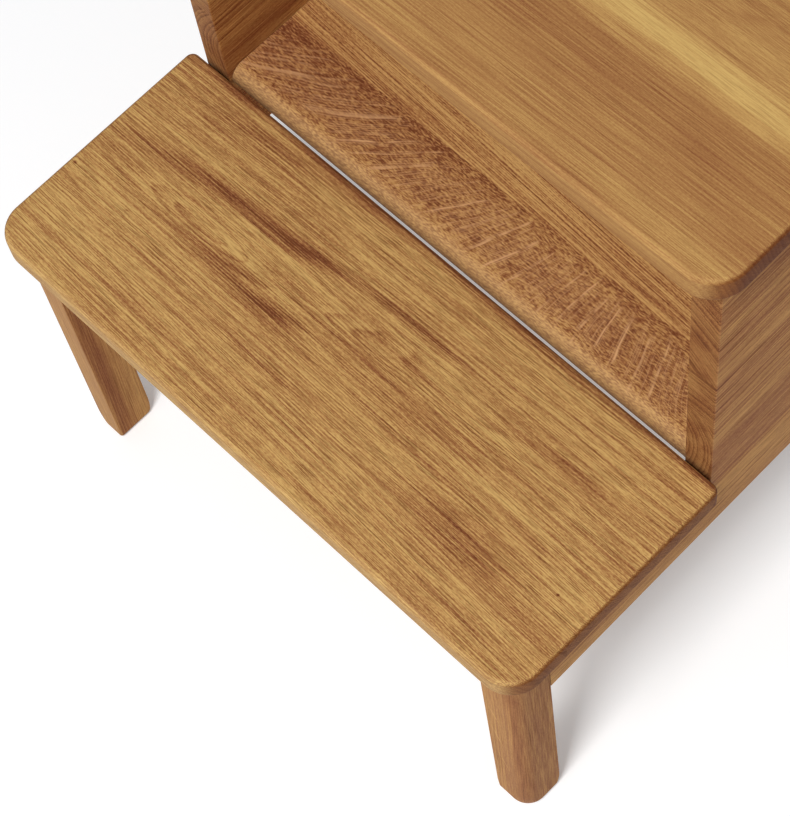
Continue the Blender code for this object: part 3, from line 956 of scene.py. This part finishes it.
@dataclass
class UnderFrame:
    """The legs, and the rails that carry the box and the lower step. Sizes in metres.

    Attributes:
        arris: Radius of plain edges.
        sharp: Radius of a leg's corner that meets its side rail.
        tight: Radius of the edges that another board covers.
        leg_corner: Radius of a leg's round outer corner.
        foot_corner: The same at the foot.
        foot: Radius of the rolled edge under the foot.
        edge: Radius of the inner corner beside the round one, at the foot.
        soft: Radius of the other two corners, at the foot.
        eased: Height over which the corners of the foot are eased.
        glue: What is added on top of legs and rails, to close a glue line.
    """

    arris: float = 0.7 * MM
    sharp: float = 0.245 * MM
    tight: float = 0.06 * MM
    leg_corner: float = 9 * MM
    foot_corner: float = 14 * MM
    foot: float = 4 * MM
    edge: float = 2.5 * MM
    soft: float = 5 * MM
    eased: float = 20 * MM
    glue: float = 0.28 * MM

    def build(self) -> None:
        """Make the legs and rails and dress them."""
        for round_corner, name in enumerate(("front_left", "front_right", "rear_right", "rear_left")):
            inner_corner, rail_corner = (1, 0, 3, 2)[round_corner], 3 - round_corner
            radii, upper = np.full(4, self.soft), np.full(4, self.arris)
            radii[[inner_corner, round_corner]] = self.edge, self.foot_corner
            upper[[rail_corner, round_corner]] = self.sharp, self.leg_corner
            Board(f"{name}_post", (f"{name}_leg",), Carried.ALONG_Z, tuple(radii), (self.foot, self.tight),
                  grow=((0, 0, 0), (0, 0, self.glue)), arc_steps=20, eased=self.eased, beyond=tuple(upper),
                  ).build("leg_oak", self.leg_oak(name, round_corner))
        for side in ("left", "right"):
            Board(f"{side}_side_bar", (f"{side}_side_rail",), Carried.ALONG_Y,
                  (self.arris, self.tight, self.tight, self.arris), (self.tight, self.tight),
                  grow=((0, 0, 0), (0, 0, self.glue))).build("side_oak", side_oak(side))
        Board("rear_bar", ("rear_rail",), Carried.ALONG_X, (self.arris,) * 4, (self.tight, self.tight)).build(
            "side_oak", self.rear_oak())

    def leg_oak(self, name: str, round_corner: int) -> OiledOak:
        """A leg's wood: one straight length, with short rays on the right and a dark half on the left.

        Args:
            name: Which leg it is.
            round_corner: Place of its round corner, which also sets where its wood comes from.

        Returns:
            The finish.
        """
        low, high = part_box(f"{name}_leg")
        middle = (low + high) / 2 / MM
        right = middle.x > 0
        grain = Grain.ALONG_Z if right else Grain.TURNED_Z
        across, through = (middle[axis] for axis in grain.value[1:])
        streaks = (
            Mark(150, across - 5, 14, 0.45, slope=-0.36, depth=-0.6),
            Mark(112, across - 5, 17, 0.45, slope=-0.30, depth=-0.6),
            Mark(70, across - 3, 13, 0.45, slope=-0.34, depth=-0.5),
            Mark(90, across + 9, 240, 3.0, depth=0.30),
        ) if right else (
            Mark(90, across - 7, 240, 6.0, depth=0.42),
            Mark(90, across + 9, 240, 8.0, depth=-0.20),
        )
        # The left legs carry more painted sheen on their front faces than the right ones.
        return OiledOak(
            f"{name}_leg", grain,
            staves=(Stave(BEFORE, across - 70, through + 45, slope=0.02, shift=7000 + 330 * round_corner,
                          warmth=0.16 if right else 0.10, dash=34),),
            streaks=streaks, wobble=3.0, figure=0.12, clouds=0.6, pores=0.42, lines=0.5, tint="F6E9E5",
            painted_front_sheen=0.06 if right else 0.26)

    def rear_oak(self) -> OiledOak:
        """The rear rail's wood: one straight length.

        Returns:
            The finish.
        """
        return OiledOak("rear_rail", Grain.UPRIGHT_X,
                        staves=(Stave(BEFORE, 150, 250, slope=0.01, shift=9100, warmth=0.12),), lines=0.75)


@dataclass
class Dowels:
    """The concealed dowels, which stay as they are in the frame.

    Attributes:
        prefix: What the names of their nodes start with.
    """

    prefix: str = "dowel_"

    def dress(self) -> None:
        """Give every dowel its raw wood."""
        wood = RawBeech().material()
        pieces = [piece for name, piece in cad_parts.items() if name.startswith(self.prefix)]
        for piece in pieces:
            piece.data.materials.clear()
            piece.data.materials.append(wood)
        LOG.info("%d dowels", len(pieces))


@dataclass
class Studio:
    """A pale floor, soft light and the camera.

    Attributes:
        eye: The camera's place in metres.
        yaw: Its turn to the left of +Y, in degrees.
        pitch: How far it looks below the horizon, in degrees.
        roll: How far it is turned about its own line of sight, in degrees.
        focal: Its focal length in pixels of the picture.
        sensor: Width of its sensor in millimetres.
        clip: The nearest and the farthest that it sees, in metres.
        floor_half: Half of the floor's side in metres.
        paper: Colour of the floor.
        fade: How far from the stool the floor's glow starts and stops to grow, in metres.
        glow: Strength of that glow near the stool and far away.
        sky: Colour of the sky.
        sky_light: Strength of the sky's light.
        aim: What the lamps look at, in metres.
    """

    eye: tuple[float, float, float] = (0.515307, -0.449687, 1.479886)
    yaw: float = 55.461
    pitch: float = 65.024
    roll: float = -11.826
    focal: float = 2570.179
    sensor: float = 36.0
    clip: tuple[float, float] = (0.05, 100.0)
    floor_half: float = 12.0
    paper: str = "F4F4F4"
    fade: tuple[float, float] = (1.1, 4.0)
    glow: tuple[float, float] = (0.21, 0.85)
    sky: str = "F6FAFF"
    sky_light: float = 0.31
    aim: tuple[float, float, float] = (0.0, 0.0, 0.25)

    def build(self) -> None:
        """Make the camera, the floor and the lights."""
        self.camera()
        self.floor()
        self.lights()
        bpy.context.scene.view_settings.view_transform = "Standard"

    def camera(self) -> None:
        """Aim the camera: its line of sight from yaw and pitch, then turned about that line by the roll."""
        yaw, pitch, roll = (math.radians(a) for a in (self.yaw, self.pitch, self.roll))
        ahead = Vector((-math.sin(yaw) * math.cos(pitch), math.cos(yaw) * math.cos(pitch), -math.sin(pitch)))
        level = Vector((math.cos(yaw), math.sin(yaw), 0.0))
        upright = level.cross(ahead)
        right = level * math.cos(roll) + upright * math.sin(roll)
        up = upright * math.cos(roll) - level * math.sin(roll)
        data = bpy.data.cameras.new("camera")
        data.sensor_width = self.sensor
        data.lens = self.sensor * self.focal / PICTURE_SIDE
        data.clip_start, data.clip_end = self.clip
        camera = bpy.data.objects.new("camera", data)
        camera.matrix_world = Matrix.Translation(self.eye) @ Matrix((right, up, -ahead)).transposed().to_4x4()
        bpy.context.scene.collection.objects.link(camera)
        bpy.context.scene.camera = camera

    def shown(self, tree: Tree) -> Socket:
        """Find out whether a ray comes from the camera, straight or by way of a mirror or glass.

        Args:
            tree: The node tree.

        Returns:
            1 for such a ray, 0 for others.
        """
        path = add(tree, "LightPath").node.outputs
        mirror = add(tree, "Math MAXIMUM", path["Is Glossy Ray"], path["Is Transmission Ray"])
        return add(tree, "Math MAXIMUM", path["Is Camera Ray"], mirror)

    def floor(self) -> None:
        """Lay a matt white floor that takes soft shadows near the stool and fades to plain white far away."""
        side = self.floor_half
        mesh = bpy.data.meshes.new("floor")
        mesh.from_pydata([(-side, -side, 0), (side, -side, 0), (side, side, 0), (-side, side, 0)], [], [(0, 1, 2, 3)])
        made, tree, surface = blank("matt_white_floor")
        paper = add(tree, "BsdfDiffuse", linear(self.paper))
        away = add(tree, "VectorMath LENGTH", add(tree, "TexCoord", out="Object"), out="Value")
        glow = add(tree, "Emission", linear("FFFFFF"), add(tree, "MapRange", away, *self.fade, *self.glow))
        seen = add(tree, "AddShader", paper, glow)
        tree.links.new(add(tree, "MixShader", self.shown(tree), paper, seen), surface)
        mesh.materials.append(made)
        floor = bpy.data.objects.new("floor", mesh)
        bpy.context.scene.collection.objects.link(floor)

    def lights(self) -> None:
        """Hang a soft lamp high above the front and a wide weak one before it, under an even sky that looks white."""
        world = bpy.data.worlds.new("sky")
        world.use_nodes = True
        tree = world.node_tree
        tree.nodes.clear()
        out = tree.nodes.new("ShaderNodeOutputWorld")
        strength = add(tree, "MapRange", self.shown(tree), 0.0, 1.0, self.sky_light, 1.0)
        tree.links.new(add(tree, "Background", linear(self.sky), strength), out.inputs["Surface"])
        bpy.context.scene.world = world
        self.lamp("key", place=(0.46, -1.2, 2.6), size=0.60, power=54.0)
        self.lamp("fill", place=(0.2, -2.6, 1.1), size=1.6, power=12.0)

    def lamp(self, name: str, place: tuple[float, float, float], size: float, power: float) -> None:
        """Hang a square soft lamp that looks at the stool.

        Args:
            name: Its name.
            place: Where it hangs, in metres.
            size: Its side in metres.
            power: Its power in watts.
        """
        data = bpy.data.lights.new(name, "AREA")
        data.shape = "SQUARE"
        data.size = size
        data.energy = power
        lamp = bpy.data.objects.new(name, data)
        lamp.location = place
        lamp.rotation_euler = (Vector(self.aim) - Vector(place)).to_track_quat("-Z", "Y").to_euler()
        bpy.context.scene.collection.objects.link(lamp)


def main() -> None:
    """Build the stool's pieces in order, then the studio around it."""
    logging.basicConfig(level=logging.INFO, format="%(name)s %(message)s")
    Treads().build()
    StorageBox().build()
    UnderFrame().build()
    Dowels().dress()
    Studio().build()


if __name__ == "__main__":
    main()
